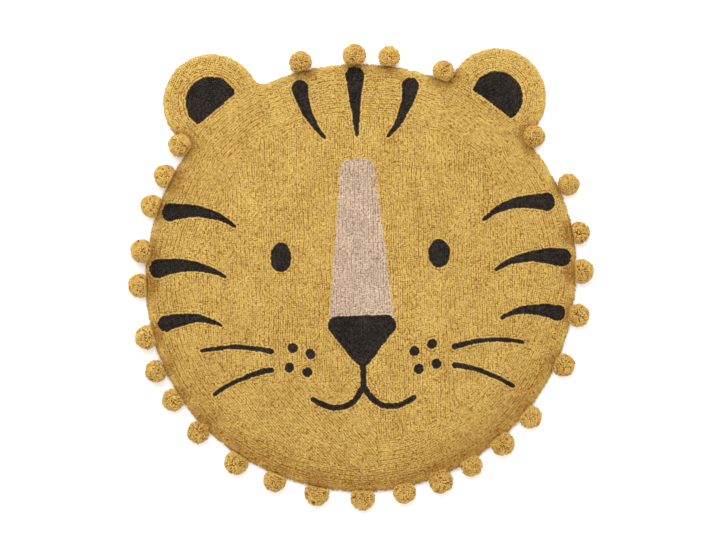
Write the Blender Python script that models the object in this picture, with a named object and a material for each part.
# A tufted floor rug in the shape of an animal's head: a round head with two round ears in one
# piece, and yarn pom-poms sewn along its edge. Metres, +Z up. The origin is the head's centre on
# the floor, and +Y runs from there to the top of the head, between the ears.
from collections import namedtuple
from math import acos, asin, cos, pi, radians, sin

import bmesh
import bpy
from mathutils import Vector

MM = 0.001

# Driving dimensions
HEAD_RADIUS = 0.506
NOOK_RADIUS = 0.025        # the rounded inner corner between head and ear
THICKNESS = 0.015          # backing cloth and pile together
HEM_THICKNESS = 0.004      # the folded edge of the backing, below the rounded rim of the pile
HEM_SETBACK = 0.002        # how far the hem's fold is drawn in where it meets the floor
RIM_WIDTH = 0.011          # the pile leans out and rounds over along this width
TROUGH_CENTRE = 0.019      # a shallow trough in the pile follows the edge, over the hem's inner side
TROUGH_END = 0.028
TROUGH_DEPTH = 0.0014
SEWING_GAP = 0.0005        # left between a pom-pom and the pile that it presses in
POMPOM_SQUASH = 0.001      # how far a pom-pom's underside is flattened by the floor

# Spacing of the outline's points
HEAD_STEP = 0.021
EAR_STEP = 0.015
NOOK_STEP = 0.009
RIM_STEPS = 3
POMPOM_SIDES = 12
POMPOM_BANDS = 6

# The ears, the right one first.
# the centre's angle in degrees anticlockwise from +X and its distance from the head's centre
Ear = namedtuple("Ear", "angle distance radius")
EARS = (
    Ear(51.5, 0.532, 0.116),
    Ear(129, 0.540, 0.115),
)

# The hand-cut outline isn't made of true arcs: each row adds one slow wave to it.
# waves in a turn, height in mm, the angle of its first crest in degrees
Wave = namedtuple("Wave", "count height crest")
UNEVENNESS = (
    Wave(2, 2.8, 25),
    Wave(3, 1.3, 5),
    Wave(4, 2.1, 24),
    Wave(7, 0.8, 15),
)

# The pom-poms, anticlockwise from +X, unevenly spaced as they were sewn by hand.
# angle in degrees, mm from the edge out to the centre, diameter in mm, mm from the centre to the
# side that is flat where the rug's edge presses on it
Pompom = namedtuple("Pompom", "angle out size flat")
POMPOMS = (
    Pompom(0, 10, 58, 15),
    Pompom(10, 11, 53, 12.5),
    Pompom(22.5, 22, 52, 24.5),
    Pompom(37.5, 16, 52, 24.5),
    Pompom(66.5, 17, 52, 19.5),
    Pompom(81, 19, 52, 21.5),
    Pompom(90, 18, 55, 19.5),
    Pompom(104, 18, 54, 19.5),
    Pompom(142.3, 22, 54, 25.5),
    Pompom(151, 12, 55, 14.5),
    Pompom(159.5, 13, 54, 16.5),
    Pompom(171.5, 10, 56, 20),
    Pompom(180.5, 11, 56, 14.5),
    Pompom(194, 12, 56, 17),
    Pompom(203, 18, 52, 19.5),
    Pompom(211.5, 14, 53, 18),
    Pompom(222, 15, 53, 25),
    Pompom(234.5, 14, 58, 17),
    Pompom(245.5, 11, 55, 14.5),
    Pompom(257, 11, 60, 12.5),
    Pompom(269, 12, 58, 17),
    Pompom(280, 9, 54, 20),
    Pompom(290, 9, 58, 24),
    Pompom(299, 9, 52, 19),
    Pompom(309, 10, 56, 20),
    Pompom(319, 12, 54, 18.5),
    Pompom(335, 15, 54, 22),
    Pompom(348.5, 13, 54, 22.5),
)

MUSTARD_PILE = (0.578, 0.377, 0.098)
MUSTARD_YARN = (0.545, 0.347, 0.085)


def polar(distance, angle):
    return Vector((distance * cos(angle), distance * sin(angle)))


def heading(vector):
    """The anticlockwise angle from +X to a vector."""
    return -Vector((1, 0)).angle_signed(vector)


def unevenness(angle):
    """How far the outline stands out from its true arcs at an angle about the head's centre."""
    waves = (wave.height * cos(wave.count * (angle - radians(wave.crest))) for wave in UNEVENNESS)
    return sum(waves) * MM


def ear_corners(ear):
    """Directions from the head's centre to the centres of the two nooks beside an ear."""
    nook_distance = HEAD_RADIUS + NOOK_RADIUS
    ear_to_nook = ear.radius + NOOK_RADIUS
    squares = nook_distance**2 + ear.distance**2 - ear_to_nook**2
    spread = acos(squares / (2 * nook_distance * ear.distance))
    return radians(ear.angle) - spread, radians(ear.angle) + spread


def arc_points(centre, radius, start, turn, step):
    """Points and outward directions along one arc; a negative turn is a hollow arc."""
    count = max(2, round(abs(turn) * radius / step))
    hollow = turn < 0
    for i in range(count):
        direction = polar(1, start + turn * i / count)
        yield centre + radius * direction, -direction if hollow else direction


def outline():
    """The head, the two ears and the four nooks between them as one anticlockwise line."""
    centre = Vector((0, 0))
    line = []
    corners = [ear_corners(ear) for ear in EARS]
    head_start = corners[-1][1] - 2 * pi
    for ear, (first_nook, last_nook) in zip(EARS, corners):
        line += arc_points(centre, HEAD_RADIUS, head_start, first_nook - head_start, HEAD_STEP)
        ear_centre = polar(ear.distance, radians(ear.angle))
        nooks = [polar(HEAD_RADIUS + NOOK_RADIUS, angle) for angle in (first_nook, last_nook)]
        to_nooks = [heading(nook - ear_centre) for nook in nooks]
        # a nook turns clockwise, from facing the head's centre to facing the ear's, or back
        nook_turn = (to_nooks[0] - first_nook) % (2 * pi) - 2 * pi
        line += arc_points(nooks[0], NOOK_RADIUS, first_nook + pi, nook_turn, NOOK_STEP)
        ear_turn = (to_nooks[1] - to_nooks[0]) % (2 * pi)
        line += arc_points(ear_centre, ear.radius, to_nooks[0], ear_turn, EAR_STEP)
        line += arc_points(nooks[1], NOOK_RADIUS, to_nooks[1] + pi, nook_turn, NOOK_STEP)
        head_start = last_nook
    return [(point + out * unevenness(heading(point)), out) for point, out in line]


def section():
    """The edge from the floor up and inwards, as pairs of inset from the outline and height."""
    rows = [(HEM_SETBACK, 0), (0, HEM_THICKNESS)]
    rise = THICKNESS - HEM_THICKNESS
    for i in range(1, RIM_STEPS + 1):
        angle = pi / 2 * i / RIM_STEPS
        rows.append((RIM_WIDTH * (1 - cos(angle)), HEM_THICKNESS + rise * sin(angle)))
    rows.append((TROUGH_CENTRE, THICKNESS - TROUGH_DEPTH))
    rows.append((TROUGH_END, THICKNESS))
    return rows


def bridge(bm, rings):
    """Closes a stack of equal rings, lowest first, into one body and returns its faces."""
    faces = [bm.faces.new(reversed(rings[0])), bm.faces.new(rings[-1])]
    for low, high in zip(rings, rings[1:]):
        for i in range(len(low)):
            j = (i + 1) % len(low)
            faces.append(bm.faces.new((low[i], low[j], high[j], high[i])))
    return faces


def cut_flat(bm, faces, place, direction):
    """Takes off what lies beyond a plane, on the side that the direction points to."""
    body = set(faces)
    for face in faces:
        body.update(face.edges, face.verts)
    cut = bmesh.ops.bisect_plane(bm, geom=list(body), plane_co=place, plane_no=direction,
                                 clear_outer=True)
    rim = [item for item in cut["geom_cut"] if isinstance(item, bmesh.types.BMEdge)]
    bmesh.ops.edgeloop_fill(bm, edges=rim)


def ball(bm, centre, turn, radius, lowest, flat):
    """A faceted ball whose underside is cut flat at the latitude named lowest, in radians.

    Its inner side, away from the direction that it is turned to, is flat at that distance.
    """
    rings = []
    highest = radians(75)
    for band in range(POMPOM_BANDS + 1):
        latitude = lowest + (highest - lowest) * band / POMPOM_BANDS
        ring = []
        for side in range(POMPOM_SIDES):
            around = polar(radius * cos(latitude), turn + 2 * pi * side / POMPOM_SIDES)
            ring.append(bm.verts.new(centre + Vector((*around, radius * sin(latitude)))))
        rings.append(ring)
    inward = -Vector((*polar(1, turn), 0))
    cut_flat(bm, bridge(bm, rings), centre + flat * inward, inward)


def pompom_centre(pompom):
    angle = radians(pompom.angle)
    distance = HEAD_RADIUS + unevenness(angle) + pompom.out * MM
    return Vector((*polar(distance, angle), pompom.size * MM / 2 - POMPOM_SQUASH))


def flat_latitude(pompom):
    """The latitude at which the floor cuts a pom-pom."""
    radius = pompom.size * MM / 2
    return -asin((radius - POMPOM_SQUASH) / radius)


def material(name, colour, roughness):
    made = bpy.data.materials.new(name)
    made.use_nodes = True
    made.diffuse_color = (*colour, 1)
    shader = made.node_tree.nodes["Principled BSDF"]
    shader.inputs["Base Color"].default_value = (*colour, 1)
    shader.inputs["Roughness"].default_value = roughness
    shader.inputs["Metallic"].default_value = 0
    return made


def make_object(name, bm, surface):
    mesh = bpy.data.meshes.new(name)
    bm.to_mesh(mesh)
    bm.free()
    mesh.materials.append(surface)
    made = bpy.data.objects.new(name, mesh)
    bpy.context.scene.collection.objects.link(made)
    return made


def pompom_hollows():
    """The cutter that presses every pom-pom's place into the rug's edge."""
    bm = bmesh.new()
    for pompom in POMPOMS:
        radius = pompom.size * MM / 2 + SEWING_GAP
        flat = pompom.flat * MM + SEWING_GAP
        ball(bm, pompom_centre(pompom), radians(pompom.angle), radius, flat_latitude(pompom), flat)
    bmesh.ops.recalc_face_normals(bm, faces=bm.faces)
    cutter = make_object("pompom_hollows", bm, material("cutter", (0.5, 0.5, 0.5), 0.5))
    cutter.hide_render = True
    cutter.display_type = "WIRE"
    return cutter


def rug_body(surface):
    line = outline()
    bm = bmesh.new()
    rings = []
    for inset, height in section():
        rings.append([bm.verts.new((*(point - out * inset), height)) for point, out in line])
    bridge(bm, rings)
    body = make_object("rug_body", bm, surface)
    cut = body.modifiers.new("pompom hollows", "BOOLEAN")
    cut.operation = "DIFFERENCE"
    cut.solver = "EXACT"
    cut.object = pompom_hollows()
    return body


def pompom_ball(name, pompom, surface):
    bm = bmesh.new()
    ball(bm, Vector((0, 0, 0)), 0, pompom.size * MM / 2, flat_latitude(pompom), pompom.flat * MM)
    bmesh.ops.recalc_face_normals(bm, faces=bm.faces)
    made = make_object(name, bm, surface)
    made.location = pompom_centre(pompom)
    made.rotation_euler.z = radians(pompom.angle)
    return made


def build():
    for old in list(bpy.data.objects):
        bpy.data.objects.remove(old, do_unlink=True)
    rug = bpy.data.objects.new("rug", None)
    bpy.context.scene.collection.objects.link(rug)
    pieces = [rug_body(material("pile_mustard", MUSTARD_PILE, 0.95))]
    yarn = material("pompom_yarn", MUSTARD_YARN, 0.95)
    for number, pompom in enumerate(POMPOMS, 1):
        pieces.append(pompom_ball(f"pompom_{number:02d}", pompom, yarn))
    for piece in pieces:
        piece.parent = rug


build()
